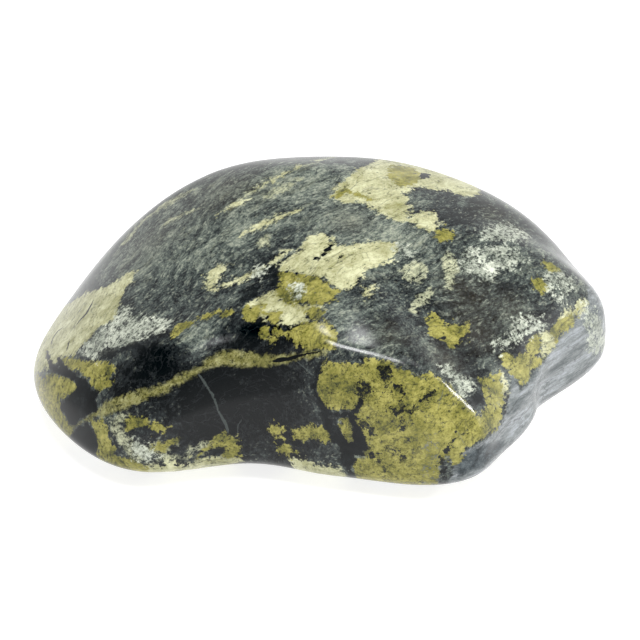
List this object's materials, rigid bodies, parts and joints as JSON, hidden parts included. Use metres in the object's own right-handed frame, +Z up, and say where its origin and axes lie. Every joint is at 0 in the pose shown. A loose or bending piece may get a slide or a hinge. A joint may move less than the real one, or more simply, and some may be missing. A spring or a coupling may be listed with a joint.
{
  "type": "polished serpentine stone",
  "caption": "Broad polished boulder with a sloping domed top, a swelling front wall with a shallow notch, a blunt nose at the right and a small flat resting spot.",
  "frame": {"origin": "middle of the bounding box, level with the flat spot that the stone rests on", "axes": "+X to the right along the stone's length as seen from the front, +Y to the back, +Z up"},
  "size_m": [0.3016, 0.2194, 0.1133],
  "materials": {
    "stone": "polished"
  },
  "bodies": {
    "root": {"stone": "stone"}
  },
  "joints": []
}
